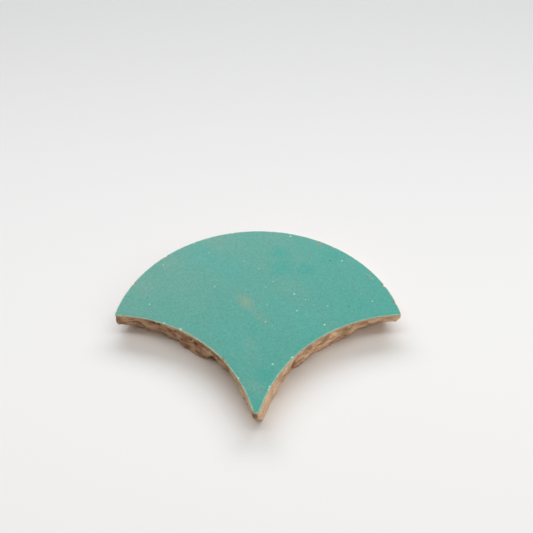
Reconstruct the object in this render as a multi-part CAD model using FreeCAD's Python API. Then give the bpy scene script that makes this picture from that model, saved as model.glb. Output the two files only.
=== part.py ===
"""Fish scale tile: one slab of fired clay with a glazed face, cut to a scale by hand.

The glazed face lies up, the round crown points to +Y and the tip to -Y.
The origin is the middle of the tile's box, on its back. Sizes are in millimetres.
"""

import FreeCAD
import Part

import math
import os

# Outline of the glazed face
WIDTH = 127.0            # from one side corner to the other
CROWN_RISE = 54.8        # from the line of the side corners up to the top of the crown
TIP_DROP = 51.3          # from the line of the side corners down to the tip
FLANK_HOLLOW = 13.2      # how far each flank curves in from its chord
TIP_WIDTH = 2.6          # the tip is broken off this wide
TIP_DRIFT = 0.5          # the tip strays this far to the left of the middle
CORNER_WIDTH = 1.4       # the side corners are broken off this wide

# Slab that the tile is cut from
THICKNESS = 12.0
ARRIS = 0.35             # narrow bevel where the glaze breaks along the cut

# Grooves that the chisel leaves: they undercut the edge, so that only the face meets the next tile
STRIKE_PITCH = 7.4       # from strike to strike along the edge
STRIKE_DRIFT = 1.5       # how far a strike strays along the edge
GROOVE_RADIUS = 13.0     # round of the bar of clay that one strike takes off
LAND = 2.8               # upright clay between the face and a groove
LAND_SWING = 1.4         # grooves start this much higher or lower
INSET_SWING = 0.5        # grooves end this much further in or out

# How far the grooves bite into the back, along the edge
CROWN_INSET = 4.0        # all along the crown
LEFT_INSET = 4.8         # on the left flank, beside its corner
NOTCH_INSET = 4.2        # on the left flank, past the spur
TIP_INSET = 1.9          # on the left flank, beside the tip
HEEL_INSET = 0.5         # on the right flank, where the strikes start behind the tip
WAIST_INSET = 2.4        # on the right flank, at its waist
MID_INSET = 1.7          # on the right flank, past the waist
TURN_INSET = 2.3         # on the right flank, where it turns to its corner
RIGHT_INSET = 7.0        # on the right flank, beside its corner

# Where the strikes change along the flanks
SPUR_START = 37.0        # from the left corner to the spur of full thickness that was left standing
SPUR_WIDTH = 12.0        # no strike lands on this stretch
SPUR_INSET = 0.4         # how far the last strike before the spur bites into the back
HEEL_RUN = 12.0          # no strike lands on the right flank this close to the tip
WAIST_RUN = 34.0         # from the tip to the waist
TURN_RUN = 25.0          # from the turn to the right corner

# Breaks that take off the underside of the tip and of the side corners
TIP_LAND = 3.0           # clay left standing under the face at the tip
TIP_BREAK = 4.6          # how far the break runs in along the back
LEFT_LAND = 6.0          # clay left standing under the face at the left corner
RIGHT_LAND = 2.6         # and at the right corner
CORNER_BREAK = 9.0       # how far these breaks run in along the back
CORNER_CLEAR = 6.0       # no other strike lands this close to a side corner

# Turns of the strike count that make each strike differ from the last
LAND_TURN = 0.618
INSET_TURN = 0.755
DRIFT_TURN = 0.382

UP = FreeCAD.Vector(0, 0, 1)


def arc(start, through, end):
    """Edge of the round stretch from start to end that passes a third point."""
    return Part.Arc(start, through, end).toShape()


def straight(start, end):
    """Edge that runs straight from start to end."""
    return Part.LineSegment(start, end).toShape()


def flank(start, end):
    """Edge that curves from start to end, hollowed to the left of its way."""
    chord = end - start
    inward = UP.cross(chord).normalize()
    return arc(start, (start + end) / 2 + inward * FLANK_HOLLOW, end)


def face_outline():
    """The edges by name, anticlockwise from the crown, at the height of the back."""
    corner_y = (TIP_DROP - CROWN_RISE) / 2
    tip_y = corner_y - TIP_DROP
    crown_top = FreeCAD.Vector(0, corner_y + CROWN_RISE, 0)
    left_upper = FreeCAD.Vector(-WIDTH / 2, corner_y + CORNER_WIDTH, 0)
    left_lower = FreeCAD.Vector(-WIDTH / 2, corner_y, 0)
    tip_left = FreeCAD.Vector(-TIP_DRIFT - TIP_WIDTH / 2, tip_y, 0)
    tip_right = FreeCAD.Vector(-TIP_DRIFT + TIP_WIDTH / 2, tip_y, 0)
    right_lower = FreeCAD.Vector(WIDTH / 2, corner_y, 0)
    right_upper = FreeCAD.Vector(WIDTH / 2, corner_y + CORNER_WIDTH, 0)
    return {
        "crown": arc(right_upper, crown_top, left_upper),
        "left_corner": straight(left_upper, left_lower),
        "left_flank": flank(left_lower, tip_left),
        "tip": straight(tip_left, tip_right),
        "right_flank": flank(tip_right, right_lower),
        "right_corner": straight(right_lower, right_upper),
    }


def slab(outline):
    """The slab cut square to the outline, with its arris broken along the face."""
    face = Part.Face(Part.Wire(list(outline.values())))
    block = face.extrude(UP * THICKNESS)
    face_edges = [e for e in block.Edges if e.BoundBox.ZMin > THICKNESS / 2]
    return block.makeChamfer(ARRIS, face_edges)


def groove(edge, along, land, inset):
    """Bar of clay that one strike takes off, from land under the face to inset in on the back."""
    parameter = edge.getParameterByLength(along)
    outward = edge.tangentAt(parameter).cross(UP)
    drop = THICKNESS - land
    down = (outward * -inset - UP * drop).normalize()
    away = (outward * drop - UP * inset).normalize()
    # the bar lies along the slope and stands past both of its ends
    start = edge.valueAt(parameter) + UP * drop + (away - down) * GROOVE_RADIUS
    bar = Part.makeCylinder(GROOVE_RADIUS, math.hypot(inset, drop) + 2 * GROOVE_RADIUS)
    bar.Placement = FreeCAD.Placement(start, FreeCAD.Rotation(away, down.cross(away), down, "ZXY"))
    return bar


def uneven(count, turn):
    """A value from -1 to 1 that changes from strike to strike."""
    return 2 * (count * turn % 1) - 1


def strikes(edge, start, end, start_inset, end_inset):
    """Grooves along a stretch of one edge, whose bite into the back changes evenly on the way."""
    count = max(1, round((end - start) / STRIKE_PITCH))
    grooves = []
    for number in range(count):
        share = (number + 0.5) / count
        along = start + share * (end - start) + STRIKE_DRIFT * uneven(number, DRIFT_TURN)
        land = LAND + LAND_SWING * uneven(number, LAND_TURN)
        inset = start_inset + share * (end_inset - start_inset) + INSET_SWING * uneven(number, INSET_TURN)
        grooves.append(groove(edge, along, land, inset))
    return grooves


def corner_break(edge, land, inset):
    """Groove that takes off the underside behind one of the short edges."""
    return groove(edge, edge.Length / 2, land, inset)


def fish_scale_tile():
    """The finished tile, one solid."""
    outline = face_outline()
    crown, left, right = (outline[name] for name in ("crown", "left_flank", "right_flank"))
    right_turn = right.Length - TURN_RUN
    right_end = right.Length - CORNER_CLEAR
    grooves = strikes(crown, CORNER_CLEAR, crown.Length - CORNER_CLEAR, CROWN_INSET, CROWN_INSET)
    grooves += strikes(left, CORNER_CLEAR, SPUR_START, LEFT_INSET, SPUR_INSET)
    grooves += strikes(left, SPUR_START + SPUR_WIDTH, left.Length, NOTCH_INSET, TIP_INSET)
    grooves += strikes(right, HEEL_RUN, WAIST_RUN, HEEL_INSET, WAIST_INSET)
    grooves += strikes(right, WAIST_RUN, right_turn, MID_INSET, TURN_INSET)
    grooves += strikes(right, right_turn, right_end, TURN_INSET, RIGHT_INSET)
    grooves.append(corner_break(outline["tip"], TIP_LAND, TIP_BREAK))
    grooves.append(corner_break(outline["left_corner"], LEFT_LAND, CORNER_BREAK))
    grooves.append(corner_break(outline["right_corner"], RIGHT_LAND, CORNER_BREAK))
    body = slab(outline)
    for bar in grooves:
        body = body.cut(bar)
    return body


tile = fish_scale_tile()
os.makedirs("parts", exist_ok=True)
tile.exportStep("parts/fish_scale_tile.step")
print("valid", tile.isValid(), "solids", len(tile.Solids), "faces", len(tile.Faces))
print("volume", round(tile.Volume / 1000, 2), "cm3")
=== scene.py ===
"""Looks of the fish scale tile: satin sea-green glaze on a slab of fired clay, chiselled by hand."""

import math

import bmesh
import bpy
from mathutils import Matrix, Vector


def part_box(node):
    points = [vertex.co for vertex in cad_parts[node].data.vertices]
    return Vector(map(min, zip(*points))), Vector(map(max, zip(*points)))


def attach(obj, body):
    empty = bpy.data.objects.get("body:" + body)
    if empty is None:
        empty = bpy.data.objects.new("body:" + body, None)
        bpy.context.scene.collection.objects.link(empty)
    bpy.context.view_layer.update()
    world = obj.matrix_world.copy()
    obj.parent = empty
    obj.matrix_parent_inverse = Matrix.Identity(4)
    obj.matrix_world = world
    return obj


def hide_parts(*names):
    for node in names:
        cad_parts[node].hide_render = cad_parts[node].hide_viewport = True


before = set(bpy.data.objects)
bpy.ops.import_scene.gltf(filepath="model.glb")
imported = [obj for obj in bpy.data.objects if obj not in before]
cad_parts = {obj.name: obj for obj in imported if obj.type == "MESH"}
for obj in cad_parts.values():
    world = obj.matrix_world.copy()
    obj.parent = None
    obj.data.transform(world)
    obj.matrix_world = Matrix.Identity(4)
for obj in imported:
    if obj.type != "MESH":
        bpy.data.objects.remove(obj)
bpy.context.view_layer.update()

MM = 0.001
TILE = "fish_scale_tile"
LOW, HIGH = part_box(TILE)

# Fine mesh of the tile
CELL = 0.30 * MM             # size of the cells that the fine mesh is made from
KEEP = 0.36                  # share of the triangles that is kept
JOIN = 0.001 * MM            # points of the solid's mesh that lie this close are one
SKIN = 0.02 * MM             # a point this close to the level of the face or the back lies on it

# Sizes of the relief, which its tree takes as named inputs
RELIEF = {
    "Face Height": HIGH.z,
    "Lump Depth": 0.42 * MM,     # lumps a few millimetres long
    "Ledge Depth": 0.18 * MM,    # layers that broke off along the edge
    "Hollow Depth": 0.8 * MM,    # shallow hollows
    "Grit Depth": 0.12 * MM,
    "Hole Depth": 1.2 * MM,
    "Right Share": 0.36,         # relief left on the right half, which broke smoother
    "Back Share": 0.25,          # relief left on the bed
    "Face Swell": 0.12 * MM,     # slow waves in the glaze
    "Glaze Roll": 0.10 * MM,     # the glaze thins out this much towards the rim
    "Standing": 0.15 * MM,       # clay left standing all along the broken edge
    "Chip Spacing": 3.1 * MM,    # small chips along the rim
    "Chip Size": 0.55 * MM,
    "Flank Chips": 0.4,          # size of the flanks' small chips, as a share of the crown's
}
SEED = 7
RIGHT_HOLLOWS = 0.3          # depth left to the hollows on the right half
RIGHT_START = (-4.0, 6.0)    # mm across, where the right half starts
TIP_SHARE = 0.35             # relief left beside the tip
TIP_REACH = (8.0, 36.0)      # mm from the tip, where the relief grows to the full
LEDGE_RISE = 2.4             # mm from layer to layer
LEDGE_WAVER = 5.0            # layers that a ledge may wander up and down
FLATTEN = (1.0, 1.0, 2.0)    # lumps and hollows are half as tall as they are long
RIM_FADE = (-0.15, -1.5)     # mm under the rim, where the relief of the clay starts and is full
ROLL_START = (1.0, -0.2)     # mm inside the rim, where the glaze starts to thin out
STANDING_HEIGHT = (11.2, 8.0)   # mm above the floor, where standing clay starts and is full
GLAZE_END = -0.42            # mm past the rim of the face, down the broken arris

# Waves of each kind of relief, per millimetre
WAVES = {
    "lump": 0.17, "waver": 0.085, "broken": 0.21, "hollow": 0.33, "grit": 1.0, "swell": 0.07, "ragged": 1.3,
}

# Clay that stands out under the rim, set where the clay of a render measured narrower than in the photograph:
# place, reach and how far, in mm
LUMPS = (
    (-17.6, -23.4, 4.0, 1.0), (-8.6, -36.0, 3.6, 0.75), (-6.0, -41.2, 4.5, 0.9), (-34.0, -10.5, 3.5, 0.6),
    (8.6, -34.6, 3.5, 0.9), (23.2, -17.6, 3.0, 0.7), (31.0, -12.0, 5.0, 0.4), (41.0, -7.0, 4.0, 0.7),
)
LUMP_CORE = 0.4              # share of its reach over which a lump is full

# Holes and cracks in the broken edge, read off the photograph: place, reach along the edge and
# reach in height, in mm
HOLES = (
    (-56.7, -2.1, 9.2, 1.5, 0.35), (-46.3, -5.0, 10.5, 1.1, 0.4), (-44.2, -5.8, 9.9, 1.2, 0.45),
    (-39.6, -7.0, 6.9, 1.2, 0.35), (-36.1, -9.3, 9.4, 1.2, 0.35), (-33.7, -10.5, 6.0, 1.2, 0.4),
    (-29.7, -13.1, 8.7, 1.0, 0.7), (-27.3, -14.8, 7.9, 1.0, 0.9), (-19.9, -18.5, 2.4, 1.3, 1.2),
    (15.6, -24.6, 7.4, 0.6, 1.8), (15.2, -24.0, 4.6, 0.7, 1.8), (14.9, -23.6, 2.0, 0.8, 1.6),
    (22.3, -15.8, 1.0, 1.1, 0.9), (36.6, -8.8, 7.5, 0.9, 0.5), (39.0, -5.8, 2.9, 1.1, 0.8),
    (49.2, -3.6, 7.8, 1.0, 0.5),
)
HOLE_EDGE = (1.4, 0.4)       # reaches from a hole's centre, where it starts and is full

# Larger chips where the glaze sprang off along the crown, the flanks and the tip, read off the photograph:
# place and reach, in mm
CHIPS = (
    (-57.4, 17.4, 0.95), (-44.2, 35.7, 1.1), (-12.7, 51.7, 0.6), (19.7, 50.2, 0.6), (29.7, 44.6, 0.8),
    (36.2, 41.4, 0.9), (46.3, 33.9, 0.9), (57.9, 16.2, 1.2), (61.8, 5.6, 1.2), (-2.2, -53.0, 1.0),
    (1.1, -53.0, 0.7), (63.5, -1.6, 0.6), (-14.7, -26.8, 0.8), (-13.4, -28.4, 0.6), (-7.5, -38.1, 0.4),
    (18.6, -21.9, 0.4), (23.1, -17.8, 0.4), (40.2, -7.4, 0.35),
)
CHIP_EDGE = (1.15, 0.35)     # reaches from a chip's centre, where it starts and is full
CHIP_SCOOP = 0.35            # depth of a chip, as a share of its reach
CHIP_FAR = 3.0               # reaches beyond which no chip is near
SMALLEST_CHIP = 0.08         # size of the smallest chips, as a share of Chip Size
CHIP_CHANCE = 4.0            # the higher, the fewer chips are large

# Camera, fitted to the outlines of the faces in the photograph
CAMERA_SPOT = (2.24 * MM, -226.77 * MM, 271.34 * MM)
CAMERA_DIP = 45.48           # degrees below level
CAMERA_TURN = -0.367         # degrees about the vertical
CAMERA_ROLL = 0.197          # degrees about the line of sight
SENSOR = 36.0
LENS = 52.24
CLIP_START = 0.01

# Light: an even sky and three soft lamps; a lamp's turn is in degrees to the right of straight behind
SKY = 0.24
SKY_TINT = (1.0, 0.92, 0.80, 1.0)
LAMP_REACH = 1.1             # metres from the tile
COOL, WHITE = (0.965, 1.0, 1.075), (1.0, 1.0, 1.0)
LAMPS = {
    "key": {"power": 10.2, "width": 1.8, "depth": 0.5, "turn": 3.0, "height": 40.5, "tint": COOL},
    "top": {"power": 4.8, "width": 2.4, "depth": 0.14, "turn": 0.0, "height": 89.0, "tint": WHITE},
    "fill": {"power": 1.1, "width": 0.8, "depth": 0.8, "turn": 118.0, "height": 38.0, "tint": WHITE},
}


def tone(red, green, blue):
    """Linear colour from the three values of a swatch on a screen."""
    def linear(value):
        share = value / 255
        return share / 12.92 if share <= 0.04045 else ((share + 0.055) / 1.055) ** 2.4
    return (linear(red), linear(green), linear(blue), 1.0)


# Floor and backdrop, in metres
FLOOR_HALF = 3.0
# painted shade: the floor turns darker further back
FLOOR_NEAR, FLOOR_FAR = tone(251, 251, 250), tone(199, 199, 198)
FLOOR_TURN = (-0.10, 0.42)   # where the near tone turns to the far one, away from the camera
FLOOR_FADE = (1.1, 0.5)      # how far from the tile the floor ends, and starts to fade
BACKDROP = tone(240, 240, 240)

# Clay: tones, and coats as a tone with its strength
DARK_LAYER, PALE_LAYER = tone(179, 134, 101), tone(254, 217, 179)
PATCHES = (tone(226, 181, 143), 0.45)
WARM_BLOTCHES = (tone(222, 170, 142), 0.55)
GREY_BLOTCHES = (tone(168, 140, 112), 0.6)
TIP_CLAY = (tone(253, 216, 180), 0.55)
TIP_SPOT = (3.0, -48.0, 6.0)             # mm, middle of the paler clay beside the tip
TIP_SPREAD = (28.0, 8.0)
# painted shade: the clay of the left half, turned away from the light, is painted browner and darker
DARKENING_BROWN = tone(110, 80, 58)
LEFT_SHADE, CORNER_BROWN = 0.41, 0.14    # strength of the brown: painted shade on the left half, and darker clay at the right corner
LEFT_START = (6.0, -10.0)                # mm across, where the left half starts
CORNER_START = (40.0, 56.0)              # mm across, where the right corner starts
# painted shade on the undercut left face of the tip
NOSE_SHADE = (tone(74, 50, 36), 0.7)
NOSE_SHADE_SPOT, NOSE_SHADE_REACH = (-1.2, -52.6, 6.6), (1.2, 3.0, 5.6)
STREAKS = tone(74, 53, 38)
LEFT_STREAKS, ALL_STREAKS = 0.39, 0.10   # strength of the streaks, more on the left half and everywhere
FLECKS = (tone(92, 66, 48), 0.6)
RED_CLAY = tone(238, 190, 156)
REDNESS = 0.75
RED_BAND = (-1.7, -0.4)                  # mm under the rim
# painted shade in the deep relief and the holes of the broken clay
HOLE_SHADE_TONE = tone(66, 47, 34)
DEEP_SHADE_SHARE, HOLE_SHADE_SHARE = 0.45, 0.75      # strength of the painted shade in deep relief and in holes
DEEP_SHADE_RELIEF = (0.7, 1.7)                   # mm of relief, where the painted shade starts and is full
CLAY_GRIT = 0.36                         # swing of light and dark from grain to grain
CLAY_ROUGHNESS, CLAY_GLOSS, CLAY_BUMP = 0.92, 0.2, 0.18 * MM
GRIT_BUMP, PATCH_BUMP = 0.35, 0.65       # shares of the bump

# Glaze: tones, and coats as a tone with its strength
GREEN, GREY_GREEN = tone(69, 160, 146), tone(94, 160, 146)
DARK_FLECKS = (tone(60, 104, 84), 0.6)
PALE_FLECKS = (tone(150, 168, 132), 0.5)
PINHOLES = (tone(200, 226, 212), 0.75)
THIN = (tone(158, 146, 116), 0.35)
# pale line where the glaze runs thin at the broken rim, partly a painted highlight along the arris
RIM_TONE = tone(194, 232, 206)
RIM_STRENGTH = 0.85
CHIP_SHADE = tone(200, 200, 200)         # the clay's colour is multiplied by this in a chip
CHIP_BARE = (0.95, 0.75)                 # reaches from a chip's centre, where bare clay starts and is full
GLAZE_CUT = 0.05                         # mm to either side of the glaze's end over which it runs out
GLAZE_GRAIN = 0.38                       # swing of light and dark from grain to grain
GLAZE_ROUGHNESS, ROUGHNESS_SWING, BARE_ROUGHNESS = 0.54, 0.10, 0.35
GLAZE_GLOSS, GLAZE_BUMP, PINHOLE_DEPTH = 0.32, 0.012 * MM, 2.0
BRUSHED = math.radians(53.0)             # the glaze was brushed on along this slant, down to the right
STROKE = (0.4, 1.0, 1.0)                 # draws the clouds out along the strokes
SHEEN_WAY = (-0.75, 0.65, 0.0)                # painted sheen: the glaze is greyer towards the back left
SHEEN_REACH, SHEEN_SHARE = 70.0, 0.75      # mm over which it turns grey, and how much

# Marks on the glaze, read off the photograph: place and size of each spot in mm
GREY_PATCHES = {
    "coat": (tone(118, 163, 150), 0.4), "softness": 0.9, "stretch": 1.4,
    "spots": ((-20.9, 46.0, 5.0), (-54.0, 18.0, 5.0), (-42.0, 31.0, 4.0), (-3.2, -18.5, 2.6),
              (-0.9, -40.5, 2.6)),
}
BLUE_POOLS = {
    "coat": (tone(76, 164, 153), 0.45), "softness": 0.9, "stretch": 1.8,
    "spots": ((-26.0, 34.4, 5.5), (-15.0, 27.0, 4.5), (7.8, 3.2, 3.5), (20.0, -4.5, 6.0),
              (-10.0, -14.4, 5.0)),
}
DEEP_POOLS = {
    "coat": (tone(60, 159, 146), 0.85), "softness": 0.9, "stretch": 1.0,
    "spots": ((10.2, 37.2, 4.2), (11.2, 27.0, 5.0), (22.0, 25.6, 3.6), (36.0, 35.8, 4.4), (3.0, -34.6, 3.4)),
}
SMUDGE = {
    "coat": (tone(165, 158, 128), 0.36), "softness": 1.0, "stretch": 1.7,
    "spots": ((-5.6, 5.8, 2.4),),
}
SMUDGE_TAIL = {
    "coat": (tone(165, 158, 128), 0.12), "softness": 1.0, "stretch": 2.2,
    "spots": ((0.8, -2.4, 2.0),),
}
TAN_SPECKS = {
    "coat": (tone(168, 150, 122), 0.55), "softness": 0.6, "stretch": 1.0,
    "spots": ((-19.9, 15.4, 0.42), (-51.3, 13.9, 0.42), (4.1, 4.6, 0.36), (-2.4, -25.5, 0.34),
              (-10.9, 16.7, 0.3), (0.1, 26.9, 0.3), (3.3, -5.6, 0.4), (47.0, 11.0, 0.4),
              (50.5, 23.3, 0.5), (51.8, 22.3, 0.5), (52.8, 20.7, 0.5)),
}
DARK_SPECKS = {
    "coat": (tone(56, 84, 66), 0.8), "softness": 0.6, "stretch": 1.0,
    "spots": ((-4.6, 11.8, 0.3), (-50.1, 8.6, 0.28), (33.8, 32.2, 0.28), (40.5, 3.1, 0.36)),
}
WHITE_SPECKS = {
    "softness": 0.5, "stretch": 1.0,
    "spots": ((-44.8, 29.4, 0.36), (-6.8, 31.7, 0.28), (16.4, 10.8, 0.36), (17.4, 0.6, 0.32),
              (39.7, 32.0, 0.36), (29.2, -7.5, 0.46), (6.2, -29.0, 0.46), (15.7, 49.1, 0.46),
              (3.3, 15.2, 0.28), (51.5, 6.3, 0.28), (-31.1, 44.1, 0.28), (-23.8, 37.6, 0.28),
              (-48.7, 4.7, 0.3), (31.3, 3.5, 0.28), (21.4, 7.3, 0.22), (-1.9, 6.4, 0.22),
              (4.1, 4.6, 0.28), (3.3, -5.8, 0.3), (-19.9, 15.4, 0.26), (0.1, 26.9, 0.2)),
}
THIN_GLAZE = {"softness": 0.5, "stretch": 1.0, "spots": ((-18.0, -22.0, 9.0), (-30.0, -13.0, 7.0))}
# pale flakes of broken glaze on the rim, partly painted glints
FLAKES_AND_GLINTS = {
    "coat": (tone(186, 232, 212), 0.85), "softness": 0.5, "stretch": 1.0,
    "spots": ((-41.4, -6.5, 0.5), (-33.7, -10.0, 0.6), (-8.1, -36.2, 0.5), (14.6, -25.5, 0.5),
              (5.0, -40.4, 0.5), (4.7, -41.9, 0.5)),
}


class Nodes:
    """Adds nodes to one tree. An input takes a plain value, a socket, or a node for its first output."""

    def __init__(self, tree):
        self.tree = tree

    def feed(self, socket, value):
        if isinstance(value, bpy.types.Node):
            value = value.outputs[0]
        if isinstance(value, bpy.types.NodeSocket):
            self.tree.links.new(value, socket)
        else:
            socket.default_value = value

    def add(self, kind, inputs=None, **settings):
        node = self.tree.nodes.new(kind)
        for name, setting in settings.items():
            setattr(node, name, setting)
        for key, value in (inputs or {}).items():
            self.feed(node.inputs[key], value)
        return node

    def math(self, operation, *values, clamp=False):
        inputs = dict(enumerate(values))
        return self.add("ShaderNodeMath", inputs, operation=operation, use_clamp=clamp).outputs[0]

    def vector(self, operation, *values):
        return self.add("ShaderNodeVectorMath", dict(enumerate(values)), operation=operation).outputs[0]

    def length(self, operation, *values):
        node = self.add("ShaderNodeVectorMath", dict(enumerate(values)), operation=operation)
        return node.outputs["Value"]

    def scaled(self, vector, factor):
        node = self.add("ShaderNodeVectorMath", {0: vector}, operation="SCALE")
        self.feed(node.inputs["Scale"], factor)
        return node.outputs[0]

    def part(self, vector, axis):
        return self.add("ShaderNodeSeparateXYZ", {0: vector}).outputs[axis]

    def noise(self, vector, scale, detail=2.0, roughness=0.5):
        inputs = {"Vector": vector, "Scale": scale, "Detail": detail, "Roughness": roughness}
        return self.add("ShaderNodeTexNoise", dict(inputs, Distortion=0.0)).outputs[0]

    def step(self, value, start, end):
        """Rises smoothly from 0 at start to 1 at end; start may be the larger."""
        inputs = {"Value": value, "From Min": start, "From Max": end}
        return self.add("ShaderNodeMapRange", inputs, interpolation_type="SMOOTHSTEP").outputs[0]

    def spread(self, value, low, high):
        """Stretches the middle of a noise over low to high."""
        inputs = {"Value": value, "From Min": 0.3, "From Max": 0.7, "To Min": low, "To Max": high}
        return self.add("ShaderNodeMapRange", inputs).outputs[0]

    def swing(self, value, width):
        """Turns 0 to 1 into a factor that swings about 1."""
        return self.math("MULTIPLY_ADD", value, width, 1.0 - width / 2)

    def blend(self, mask, under, over, blend_type="MIX"):
        inputs = {0: mask, 6: under, 7: over}
        return self.add("ShaderNodeMix", inputs, data_type="RGBA", blend_type=blend_type).outputs[2]

    def paint(self, colour, mask, over, strength):
        """Lays a coat over a colour where the mask is."""
        return self.blend(self.math("MULTIPLY", mask, strength), colour, over)

    def shaded(self, colour, factor):
        """A colour, lighter or darker by a factor."""
        grey = self.add("ShaderNodeCombineColor", {0: factor, 1: factor, 2: factor})
        return self.blend(1.0, colour, grey, "MULTIPLY")

    def grouped(self, tree, **inputs):
        return self.add("ShaderNodeGroup", inputs, node_tree=tree).outputs

    def attribute(self, name):
        return self.add("ShaderNodeAttribute", attribute_name=name).outputs["Fac"]

    def place_mm(self):
        """The place on the piece, in millimetres."""
        return self.scaled(self.add("ShaderNodeTexCoord").outputs["Object"], 1 / MM)


# Shape

def merged_copy(node):
    """The CAD node's mesh as a new object, with its loose triangles joined."""
    mesh = node.data.copy()
    shape = bmesh.new()
    shape.from_mesh(mesh)
    bmesh.ops.remove_doubles(shape, verts=shape.verts, dist=JOIN)
    shape.to_mesh(mesh)
    shape.free()
    mesh.materials.clear()
    copy = bpy.data.objects.new("glazed_tile", mesh)
    bpy.context.scene.collection.objects.link(copy)
    return copy


def relief_sockets(tree):
    """Inputs and output of the relief's tree."""
    kinds = {"Tile": "Geometry", "Solid": "Object"}
    kinds.update({name: "Float" for name in RELIEF})
    kinds.update({"Tip": "Vector", "Seed": "Int", "Clay": "Material", "Glaze": "Material"})
    for name, kind in kinds.items():
        tree.interface.new_socket(name, in_out="INPUT", socket_type="NodeSocket" + kind)
    tree.interface.new_socket("Tile", in_out="OUTPUT", socket_type="NodeSocketGeometry")


def face_rim(n, solid, on_face):
    """The edges round the glazed face."""
    face = n.add("GeometryNodeSeparateGeometry", {0: solid, "Selection": on_face}, domain="FACE")
    single = n.math("COMPARE", n.add("GeometryNodeInputMeshEdgeNeighbors").outputs[0], 1.0, 0.1)
    return n.add("GeometryNodeSeparateGeometry", {0: face, "Selection": single}, domain="EDGE")


def rim_chips(n, given, rim, position, ragged):
    """How many reaches a point lies from the nearest chip of the rim, and how large that chip is there."""
    curve = n.add("GeometryNodeMeshToCurve", {0: rim})
    spacing = {"Curve": curve, "Length": given["Chip Spacing"]}
    spaced = n.add("GeometryNodeResampleCurve", spacing, mode="LENGTH")
    spots = n.add("GeometryNodeCurveToPoints", {0: spaced}, mode="EVALUATED").outputs["Points"]
    chance = n.add("FunctionNodeRandomValue", {"Seed": given["Seed"]}, data_type="FLOAT").outputs["Value"]
    share = n.math("ADD", SMALLEST_CHIP, n.math("POWER", chance, CHIP_CHANCE))
    size = n.math("MULTIPLY", given["Chip Size"], share)
    on_flank = n.math("LESS_THAN", n.part(position, "Y"), 0.0)
    smaller = n.math("MULTIPLY", on_flank, n.math("SUBTRACT", 1.0, given["Flank Chips"]))
    size = n.math("MULTIPLY", size, n.math("SUBTRACT", 1.0, smaller))
    index = n.add("GeometryNodeSampleNearest", {0: spots, "Sample Position": position}, domain="POINT")
    sample = {0: spots, "Value": position, "Index": index}
    centre = n.add("GeometryNodeSampleIndex", sample, data_type="FLOAT_VECTOR")
    reach = n.add("GeometryNodeSampleIndex", dict(sample, Value=size), data_type="FLOAT")

    def nearness(place, width):
        """How many reaches a point lies from a chip's centre, with a ragged edge."""
        away = n.math("DIVIDE", n.length("DISTANCE", position, place), width)
        return n.math("ADD", away, ragged)

    chip = nearness(centre, reach)
    scoop = n.math("MULTIPLY", n.step(chip, *CHIP_EDGE), reach)
    for x, y, width in CHIPS:
        large = nearness((x * MM, y * MM, HIGH.z), width * MM)
        scoop = n.math("MAXIMUM", scoop, n.math("MULTIPLY", n.step(large, *CHIP_EDGE), width * MM))
        chip = n.math("MINIMUM", chip, large)
    return n.math("MINIMUM", chip, CHIP_FAR), scoop


def edge_holes(n, place_mm, ragged):
    """Mask of the holes and cracks in the broken edge."""
    hole = 0.0
    for x, y, z, along, tall in HOLES:
        away = n.vector("DIVIDE", n.vector("SUBTRACT", place_mm, (x, y, z)), (along, along, tall))
        hole = n.math("MAXIMUM", hole, n.step(n.math("ADD", n.length("LENGTH", away), ragged), *HOLE_EDGE))
    return hole


def broken_clay(n, given, position, place_mm, height_mm, on_back):
    """Depth of the lumps, layers, hollows and grit of the broken clay."""
    layers = n.vector("MULTIPLY", place_mm, FLATTEN)
    lump = n.noise(layers, WAVES["lump"], 3.0, 0.55)
    rise = n.math("DIVIDE", height_mm, LEDGE_RISE)
    waver = n.math("MULTIPLY", n.noise(place_mm, WAVES["waver"]), LEDGE_WAVER)
    ledge = n.math("FRACT", n.math("ADD", rise, waver))
    broken = n.step(n.noise(place_mm, WAVES["broken"]), 0.35, 0.65)
    on_right = n.step(n.part(place_mm, "X"), *RIGHT_START)
    hollow = n.step(n.noise(layers, WAVES["hollow"]), 0.61, 0.70)
    hollow = n.math("MULTIPLY", hollow, n.math("MULTIPLY_ADD", on_right, RIGHT_HOLLOWS - 1.0, 1.0))
    grit = n.noise(place_mm, WAVES["grit"], 3.0, 0.6)
    depth = n.math("MULTIPLY", given["Lump Depth"], n.spread(lump, 0.0, 1.0))
    depth = n.math("MULTIPLY_ADD", n.math("MULTIPLY", ledge, broken), given["Ledge Depth"], depth)
    depth = n.math("MULTIPLY_ADD", hollow, given["Hollow Depth"], depth)
    depth = n.math("MULTIPLY_ADD", n.spread(grit, 0.0, 1.0), given["Grit Depth"], depth)
    from_tip = n.math("DIVIDE", n.length("DISTANCE", position, given["Tip"]), MM)
    by_tip = n.math("MULTIPLY_ADD", n.step(from_tip, *TIP_REACH), 1.0 - TIP_SHARE, TIP_SHARE)
    depth = n.math("MULTIPLY", depth, by_tip)
    for place, share in ((on_right, given["Right Share"]), (on_back, given["Back Share"])):
        less = n.math("MULTIPLY", place, n.math("SUBTRACT", 1.0, share))
        depth = n.math("MULTIPLY", depth, n.math("SUBTRACT", 1.0, less))
    return depth


def face_waves(n, given, place_mm, rim_mm, on_face):
    """Depth of the slow waves in the glaze, and of its thin edge."""
    waves = n.noise(place_mm, WAVES["swell"], 1.0)
    swell = n.math("MULTIPLY", waves, n.math("MULTIPLY", on_face, given["Face Swell"]))
    thinned = n.math("POWER", n.step(rim_mm, *ROLL_START), 2.0)
    roll = n.math("MULTIPLY", thinned, n.math("MULTIPLY", on_face, given["Glaze Roll"]))
    return n.math("ADD", swell, roll)


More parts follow.
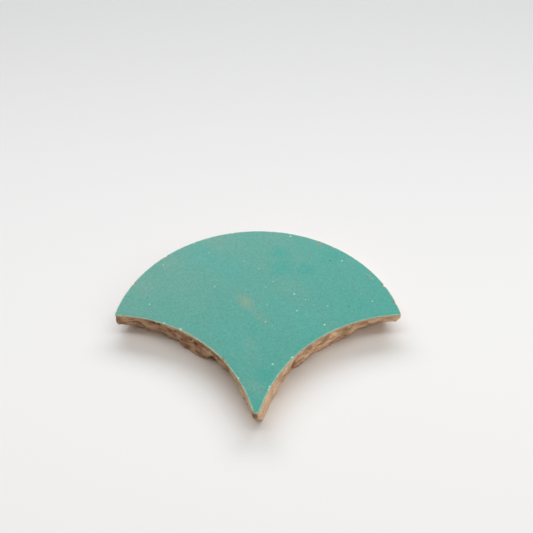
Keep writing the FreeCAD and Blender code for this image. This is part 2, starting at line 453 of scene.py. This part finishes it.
def standing_clay(n, given, place_mm, height_mm, on_back):
    """How far clay stands out under the rim."""
    standing = given["Standing"]
    for x, y, reach, out in LUMPS:
        beside = n.vector("MULTIPLY", n.vector("SUBTRACT", place_mm, (x, y, 0.0)), (1.0, 1.0, 0.0))
        near = n.step(n.length("LENGTH", beside), reach, reach * LUMP_CORE)
        standing = n.math("MULTIPLY_ADD", near, out * MM, standing)
    off_back = n.math("SUBTRACT", 1.0, on_back)
    lower = n.math("MULTIPLY", n.step(height_mm, *STANDING_HEIGHT), off_back)
    return n.math("MULTIPLY", standing, lower)


def relief_tree():
    """Broken clay edge, chipped arris and slow glaze waves, cut into a fine mesh of the solid."""
    tree = bpy.data.node_groups.new("chiselled relief", "GeometryNodeTree")
    relief_sockets(tree)
    n = Nodes(tree)
    given = n.add("NodeGroupInput").outputs
    position = n.add("GeometryNodeInputPosition").outputs[0]
    place_mm = n.scaled(position, 1 / MM)
    height = n.part(position, "Z")
    height_mm = n.math("DIVIDE", height, MM)
    on_face = n.math("GREATER_THAN", height, n.math("SUBTRACT", given["Face Height"], SKIN))
    on_back = n.math("LESS_THAN", height, SKIN)
    ragged = n.spread(n.noise(place_mm, WAVES["ragged"], 3.0, 0.6), -0.6, 0.6)

    # the fine mesh goes back onto the solid's own surface
    solid = n.add("GeometryNodeObjectInfo", {"Object": given["Solid"]}).outputs["Geometry"]
    nearest = n.add("GeometryNodeProximity", {0: solid}, target_element="FACES").outputs["Position"]
    tile = n.add("GeometryNodeSetPosition", {"Geometry": given["Tile"], "Position": nearest})

    # distance from the rim of the face, negative on the clay
    rim = face_rim(n, solid, on_face)
    to_rim = n.add("GeometryNodeProximity", {0: rim}, target_element="EDGES").outputs["Distance"]
    side = n.math("SUBTRACT", n.math("MULTIPLY", on_face, 2.0), 1.0)
    rim_mm = n.math("DIVIDE", n.math("MULTIPLY", to_rim, side), MM)

    chip, scoop = rim_chips(n, given, rim, position, ragged)
    hole = edge_holes(n, place_mm, ragged)
    depth = broken_clay(n, given, position, place_mm, height_mm, on_back)
    depth = n.math("MULTIPLY_ADD", hole, given["Hole Depth"], depth)
    depth = n.math("MULTIPLY", depth, n.step(rim_mm, *RIM_FADE))
    cut = n.math("ADD", depth, face_waves(n, given, place_mm, rim_mm, on_face))
    cut = n.math("ADD", cut, n.math("MULTIPLY", scoop, CHIP_SCOOP))

    stored = {"rim_mm": rim_mm, "chip": chip, "depth_mm": n.math("DIVIDE", depth, MM), "hole": hole}
    for name, value in stored.items():
        tile = n.add("GeometryNodeStoreNamedAttribute", {"Geometry": tile, "Name": name, "Value": value},
                     data_type="FLOAT", domain="POINT")
    normal = n.add("GeometryNodeInputNormal").outputs[0]
    inward = n.scaled(normal, n.math("MULTIPLY", cut, -1.0))
    level = n.vector("MULTIPLY", normal, (1.0, 1.0, 0.0))
    outward = n.scaled(level, standing_clay(n, given, place_mm, height_mm, on_back))
    tile = n.add("GeometryNodeSetPosition", {"Geometry": tile, "Offset": n.vector("ADD", inward, outward)})
    tile = n.add("GeometryNodeSetShadeSmooth", {"Geometry": tile})
    tile = n.add("GeometryNodeRealizeInstances", {"Geometry": tile})
    tile = n.add("GeometryNodeSetMaterial", {"Geometry": tile, "Material": given["Clay"]})
    stored_rim = n.add("GeometryNodeInputNamedAttribute", {"Name": "rim_mm"}, data_type="FLOAT").outputs[0]
    glazed = n.math("GREATER_THAN", stored_rim, GLAZE_END)
    finish = {"Geometry": tile, "Selection": glazed, "Material": given["Glaze"]}
    n.add("NodeGroupOutput", {0: n.add("GeometryNodeSetMaterial", finish)})
    return tree


def keep_inside(mesh):
    """Brings the few points that the thinning pushed past the solid's box back to it."""
    for point in mesh.vertices:
        point.co = [min(max(value, low), high) for value, low, high in zip(point.co, LOW, HIGH)]


def glazed_tile(glaze, clay):
    """The tile as one plain mesh: a fine copy of the solid with the relief cut in."""
    solid = merged_copy(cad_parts[TILE])
    piece = solid.copy()
    piece.data = solid.data.copy()
    bpy.context.scene.collection.objects.link(piece)
    tip = min((v.co for v in solid.data.vertices), key=lambda place: (place.y, -place.z)).copy()
    values = dict(RELIEF, Solid=solid, Tip=(tip.x, tip.y, HIGH.z), Seed=SEED, Clay=clay, Glaze=glaze)
    fine = piece.modifiers.new("fine mesh", "REMESH")
    fine.mode = "VOXEL"
    fine.voxel_size = CELL
    relief = piece.modifiers.new("relief", "NODES")
    tree = relief_tree()
    relief.node_group = tree
    for item in tree.interface.items_tree:
        if item.in_out == "INPUT" and item.name in values:
            relief[item.identifier] = values[item.name]
    thin = piece.modifiers.new("thin out", "DECIMATE")
    thin.ratio = KEEP
    thin.use_collapse_triangulate = True
    graph = bpy.context.evaluated_depsgraph_get()
    shaped = piece.evaluated_get(graph)
    mesh = bpy.data.meshes.new_from_object(shaped, preserve_all_data_layers=True, depsgraph=graph)
    piece.modifiers.clear()
    keep_inside(mesh)
    piece.data = mesh
    bpy.data.objects.remove(solid)
    mesh.name = piece.name = "glazed_tile"
    return piece


# Materials

def group(name, inputs, outputs):
    """An empty shader group with its sockets, as (tree, nodes, input sockets)."""
    tree = bpy.data.node_groups.new(name, "ShaderNodeTree")
    for way, sockets in (("INPUT", inputs), ("OUTPUT", outputs)):
        for label, kind in sockets.items():
            tree.interface.new_socket(label, in_out=way, socket_type="NodeSocket" + kind)
    n = Nodes(tree)
    return tree, n, n.add("NodeGroupInput").outputs


def mark_group():
    """A round mark on the piece with a soft, slightly ragged edge."""
    inputs = {
        "Centre": "Vector", "Radius": "Float", "Softness": "Float", "Stretch": "Vector", "Turn": "Float",
    }
    tree, n, given = group("mark", inputs, {"Mask": "Float"})
    place = n.place_mm()
    offset = n.vector("SUBTRACT", place, given["Centre"])
    turn = {"Vector": offset, "Angle": given["Turn"]}
    turned = n.add("ShaderNodeVectorRotate", turn, rotation_type="Z_AXIS")
    away = n.length("LENGTH", n.vector("DIVIDE", turned, given["Stretch"]))
    wobble = n.math("MULTIPLY", n.spread(n.noise(place, 0.9), -0.3, 0.3), given["Radius"])
    away = n.math("ADD", away, wobble)
    outer = n.math("ADD", given["Radius"], given["Softness"])
    inner = n.math("SUBTRACT", given["Radius"], given["Softness"])
    n.add("NodeGroupOutput", {"Mask": n.step(away, outer, inner)})
    return tree


def grain_group():
    """Fine grain, in cells of a given size, stretched along the layers where asked."""
    inputs = {"Size": "Float", "Flatten": "Vector", "Roughness": "Float"}
    tree, n, given = group("grain", inputs, {"Value": "Float"})
    place = n.vector("MULTIPLY", n.place_mm(), given["Flatten"])
    value = n.noise(place, n.math("DIVIDE", 1.0, given["Size"]), 4.0, given["Roughness"])
    n.add("NodeGroupOutput", {"Value": n.spread(value, 0.0, 1.0)})
    return tree


def specks_group():
    """Small specks strewn over the piece: a share of evenly spaced places has one."""
    inputs = {"Spacing": "Float", "Share": "Float", "Radius": "Float"}
    tree, n, given = group("specks", inputs, {"Mask": "Float"})
    scale = n.math("DIVIDE", 1.0, given["Spacing"])
    cells = n.add("ShaderNodeTexVoronoi", {"Vector": n.place_mm(), "Scale": scale}).outputs
    chance = n.add("ShaderNodeSeparateColor", {0: cells["Color"]}).outputs[0]
    away = n.math("MULTIPLY", cells["Distance"], given["Spacing"])
    near = n.step(away, given["Radius"], n.math("MULTIPLY", given["Radius"], 0.5))
    chosen = n.math("LESS_THAN", chance, given["Share"])
    n.add("NodeGroupOutput", {"Mask": n.math("MULTIPLY", near, chosen)})
    return tree


def clay_group(grain, specks):
    """Fired clay: brown layers, paler grit, dark flecks, redder just under the glaze, with painted shade in
    hollows, in holes, on the left half and beside the tip.
    """
    outputs = {"Colour": "Color", "Height": "Float"}
    tree, n, given = group("fired clay colour", {"Redness": "Float"}, outputs)

    def grains(size, flatten, roughness):
        return n.grouped(grain, Size=size, Flatten=flatten, Roughness=roughness)[0]

    place = n.place_mm()
    across = n.part(place, "X")
    layers = grains(4.6, (1.0, 1.0, 1.6), 0.4)
    patches = grains(2.4, (1.0, 1.0, 1.3), 0.45)
    blotches = grains(5.2, (1.0, 1.0, 1.2), 0.5)
    streaks = grains(1.4, (0.5, 0.5, 1.3), 0.6)
    grit = grains(0.45, (1.0, 1.0, 1.0), 0.7)
    colour = n.blend(n.step(layers, 0.1, 0.85), DARK_LAYER, PALE_LAYER)
    colour = n.paint(colour, n.step(patches, 0.35, 0.9), *PATCHES)
    colour = n.paint(colour, n.step(blotches, 0.55, 0.95), *WARM_BLOTCHES)
    colour = n.paint(colour, n.step(blotches, 0.45, 0.05), *GREY_BLOTCHES)
    by_tip = n.step(n.length("DISTANCE", place, TIP_SPOT), *TIP_SPREAD)
    colour = n.paint(colour, by_tip, *TIP_CLAY)
    # painted shade: brown over the left half; the right corner is darker too
    left = n.step(across, *LEFT_START)
    brown = n.math("MULTIPLY_ADD", n.step(across, *CORNER_START), CORNER_BROWN,
                   n.math("MULTIPLY", left, LEFT_SHADE))
    colour = n.blend(brown, colour, DARKENING_BROWN)
    # painted shade on the left face of the tip
    beside = n.vector("DIVIDE", n.vector("SUBTRACT", place, NOSE_SHADE_SPOT), NOSE_SHADE_REACH)
    colour = n.paint(colour, n.step(n.length("LENGTH", beside), 1.5, 0.7), *NOSE_SHADE)
    strength = n.math("MULTIPLY_ADD", left, LEFT_STREAKS, ALL_STREAKS)
    colour = n.paint(colour, n.step(streaks, 0.38, 0.08), STREAKS, strength)
    colour = n.paint(colour, n.grouped(specks, Spacing=1.6, Share=0.35, Radius=0.34)[0], *FLECKS)
    colour = n.paint(colour, n.step(n.attribute("rim_mm"), *RED_BAND), RED_CLAY, given["Redness"])
    colour = n.shaded(colour, n.swing(grit, CLAY_GRIT))
    # painted shade in deep relief and in holes
    deep = n.math("MULTIPLY", n.step(n.attribute("depth_mm"), *DEEP_SHADE_RELIEF), DEEP_SHADE_SHARE)
    deep = n.math("MAXIMUM", deep, n.math("MULTIPLY", n.attribute("hole"), HOLE_SHADE_SHARE))
    colour = n.blend(deep, colour, HOLE_SHADE_TONE)
    height = n.math("MULTIPLY_ADD", grit, GRIT_BUMP, n.math("MULTIPLY", patches, PATCH_BUMP))
    n.add("NodeGroupOutput", {"Colour": colour, "Height": height})
    return tree


def new_material(name):
    material = bpy.data.materials.new(name)
    material.use_nodes = True
    material.node_tree.nodes.clear()
    return material, Nodes(material.node_tree)


def finish_material(n, inputs, height, reach):
    """Principled surface with a bump from height, and the material's output."""
    bump = n.add("ShaderNodeBump", {"Height": height, "Distance": reach, "Strength": 1.0})
    surface = n.add("ShaderNodeBsdfPrincipled", dict(inputs, Normal=bump))
    n.add("ShaderNodeOutputMaterial", {"Surface": surface})


def brushed_green(n, place):
    """Clouded sea green, drawn out along the brush strokes, and greyer towards the back left by a painted
    sheen.
    """
    strokes = n.add("ShaderNodeVectorRotate", {"Vector": place, "Angle": BRUSHED}, rotation_type="Z_AXIS")
    clouds = n.noise(n.vector("MULTIPLY", strokes, STROKE), 0.07, 3.0, 0.55)
    # painted sheen: greyer towards the back left
    painted_sheen = n.math("DIVIDE", n.length("DOT_PRODUCT", place, SHEEN_WAY), SHEEN_REACH)
    grey = n.math("ADD", n.spread(clouds, 0.2, 0.8), n.math("MULTIPLY", painted_sheen, SHEEN_SHARE), clamp=True)
    return n.blend(grey, GREEN, GREY_GREEN)


def pale_rim_and_highlight(n, place, rim):
    """Mask of the pale line where the glaze runs thin, partly a painted highlight on the arris, uneven along
    the rim.
    """
    uneven = n.spread(n.noise(place, 0.35, 3.0, 0.6), 0.35, 1.0)
    return n.math("MULTIPLY", n.step(rim, 0.40, -0.25), uneven, clamp=True)


def sea_green_glaze(groups):
    """Satin glaze: clouded sea green with painted sheen, fine grain, specks, a pale line where it breaks at
    the rim, partly a painted highlight.
    """
    material, n = new_material("sea_green_glaze")
    place = n.place_mm()
    rim = n.attribute("rim_mm")

    def marks(kind):
        """One mask for all the marks of a kind, stretched along the brush strokes."""
        mask = 0.0
        for x, y, radius in kind["spots"]:
            spot = n.grouped(groups["mark"], Centre=(x, y, HIGH.z / MM), Radius=radius, Turn=BRUSHED,
                             Softness=radius * kind["softness"], Stretch=(kind["stretch"], 1.0, 1.0))
            mask = n.math("MAXIMUM", mask, spot[0])
        return mask

    def strewn(spacing, share, radius):
        return n.grouped(groups["specks"], Spacing=spacing, Share=share, Radius=radius)[0]

    def grains(size, roughness):
        return n.grouped(groups["grain"], Size=size, Flatten=(1.0, 1.0, 1.0), Roughness=roughness)[0]

    colour = brushed_green(n, place)
    for kind in (GREY_PATCHES, BLUE_POOLS, DEEP_POOLS, SMUDGE, SMUDGE_TAIL):
        colour = n.paint(colour, marks(kind), *kind["coat"])
    colour = n.shaded(colour, n.swing(grains(0.9, 0.75), GLAZE_GRAIN))
    colour = n.paint(colour, strewn(4.2, 0.10, 0.30), *DARK_FLECKS)
    colour = n.paint(colour, strewn(3.4, 0.12, 0.36), *PALE_FLECKS)
    for kind in (TAN_SPECKS, DARK_SPECKS):
        colour = n.paint(colour, marks(kind), *kind["coat"])
    pinholes = n.math("MAXIMUM", strewn(6.0, 0.16, 0.30), marks(WHITE_SPECKS))
    colour = n.paint(colour, pinholes, *PINHOLES)
    colour = n.paint(colour, n.math("MULTIPLY", n.step(rim, 1.5, 0.1), marks(THIN_GLAZE)), *THIN)
    # the pale rim line and flakes, partly a painted highlight and glints on the arris
    colour = n.paint(colour, pale_rim_and_highlight(n, place, rim), RIM_TONE, RIM_STRENGTH)
    colour = n.paint(colour, marks(FLAKES_AND_GLINTS), *FLAKES_AND_GLINTS["coat"])

    ended = n.step(rim, GLAZE_END + GLAZE_CUT, GLAZE_END - GLAZE_CUT)
    bare = n.math("MAXIMUM", n.step(n.attribute("chip"), *CHIP_BARE), ended)
    clay = n.grouped(groups["clay"], Redness=REDNESS)
    colour = n.blend(bare, colour, n.blend(1.0, clay["Colour"], CHIP_SHADE, "MULTIPLY"))
    satin = n.math("MULTIPLY_ADD", grains(1.4, 0.6), ROUGHNESS_SWING, GLAZE_ROUGHNESS)
    roughness = n.math("ADD", satin, n.math("MULTIPLY", bare, BARE_ROUGHNESS), clamp=True)
    height = n.math("SUBTRACT", grains(0.8, 0.5), n.math("MULTIPLY", pinholes, PINHOLE_DEPTH))
    inputs = {"Base Color": colour, "Roughness": roughness, "Specular IOR Level": GLAZE_GLOSS}
    finish_material(n, inputs, height, GLAZE_BUMP)
    return material


def fired_clay(groups):
    """Dry, matt clay of the broken edge and the bed."""
    material, n = new_material("fired_clay")
    clay = n.grouped(groups["clay"], Redness=REDNESS)
    glazed = n.step(n.attribute("rim_mm"), GLAZE_END - GLAZE_CUT, GLAZE_END + GLAZE_CUT)
    whole = n.math("MULTIPLY", glazed, n.step(n.attribute("chip"), *reversed(CHIP_BARE)))
    # the pale rim line, with its painted highlight, runs on down to where the glaze ends
    colour = n.blend(whole, clay["Colour"], RIM_TONE)
    inputs = {"Base Color": colour, "Roughness": CLAY_ROUGHNESS, "Specular IOR Level": CLAY_GLOSS}
    finish_material(n, inputs, clay["Height"], CLAY_BUMP)
    return material


# Stage

def floor():
    """Wide pale floor, with painted shade that makes it a little darker behind the tile, and that fades into
    the backdrop further out.
    """
    mesh = bpy.data.meshes.new("floor")
    corners = [(x * FLOOR_HALF, y * FLOOR_HALF, 0) for x, y in ((-1, -1), (1, -1), (1, 1), (-1, 1))]
    mesh.from_pydata(corners, [], [(0, 1, 2, 3)])
    plane = bpy.data.objects.new("floor", mesh)
    bpy.context.scene.collection.objects.link(plane)
    material, n = new_material("pale_floor")
    place = n.add("ShaderNodeTexCoord").outputs["Object"]
    # painted shade: darker towards the back
    colour = n.blend(n.step(n.part(place, "Y"), *FLOOR_TURN), FLOOR_NEAR, FLOOR_FAR)
    solid = n.step(n.length("LENGTH", place), *FLOOR_FADE)
    inputs = {"Base Color": colour, "Alpha": solid, "Roughness": 0.9, "Specular IOR Level": 0.1}
    n.add("ShaderNodeOutputMaterial", {"Surface": n.add("ShaderNodeBsdfPrincipled", inputs)})
    mesh.materials.append(material)


def soft_light():
    """Even sky, white where it is seen, a lamp from behind, a long narrow one overhead and a weak one."""
    world = bpy.data.worlds.new("studio")
    bpy.context.scene.world = world
    world.use_nodes = True
    world.node_tree.nodes.clear()
    n = Nodes(world.node_tree)
    path = n.add("ShaderNodeLightPath").outputs
    mirrored = n.math("MAXIMUM", path["Is Glossy Ray"], path["Is Transmission Ray"])
    seen = n.math("MAXIMUM", path["Is Camera Ray"], mirrored)
    light = n.add("ShaderNodeBackground", {"Color": SKY_TINT, "Strength": SKY})
    backdrop = n.add("ShaderNodeBackground", {"Color": BACKDROP, "Strength": 1.0})
    sky = n.add("ShaderNodeMixShader", {0: seen, 1: light, 2: backdrop})
    n.add("ShaderNodeOutputWorld", {"Surface": sky})
    for name, lamp in LAMPS.items():
        soft_lamp(name, lamp)


def soft_lamp(name, lamp):
    """A softbox that faces the tile: a disc or an oval."""
    light = bpy.data.lights.new(name, "AREA")
    light.shape = "ELLIPSE"
    light.size = lamp["width"]
    light.size_y = lamp["depth"]
    light.energy = lamp["power"]
    light.color = lamp["tint"]
    holder = bpy.data.objects.new(name, light)
    turn, height = math.radians(lamp["turn"]), math.radians(lamp["height"])
    way = Vector((math.sin(turn) * math.cos(height), math.cos(turn) * math.cos(height), math.sin(height)))
    holder.location = way * LAMP_REACH
    holder.rotation_euler = way.to_track_quat("Z", "Y").to_euler()
    bpy.context.scene.collection.objects.link(holder)


def camera():
    """The photograph's own point of view."""
    lens = bpy.data.cameras.new("camera")
    lens.sensor_width = SENSOR
    lens.lens = LENS
    lens.clip_start = CLIP_START
    view = bpy.data.objects.new("camera", lens)
    turn = Matrix.Rotation(math.radians(CAMERA_TURN), 4, "Z")
    dip = Matrix.Rotation(math.radians(90.0 - CAMERA_DIP), 4, "X")
    roll = Matrix.Rotation(math.radians(CAMERA_ROLL), 4, "Z")
    view.matrix_world = Matrix.Translation(CAMERA_SPOT) @ turn @ dip @ roll
    bpy.context.scene.collection.objects.link(view)
    bpy.context.scene.camera = view


def dress():
    """Makes the tile, gives it its finishes and sets the stage."""
    groups = {"mark": mark_group(), "grain": grain_group(), "specks": specks_group()}
    groups["clay"] = clay_group(groups["grain"], groups["specks"])
    tile = glazed_tile(sea_green_glaze(groups), fired_clay(groups))
    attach(tile, "root")
    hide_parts(TILE)
    floor()
    soft_light()
    camera()
    bpy.context.scene.view_settings.view_transform = "Standard"


dress()
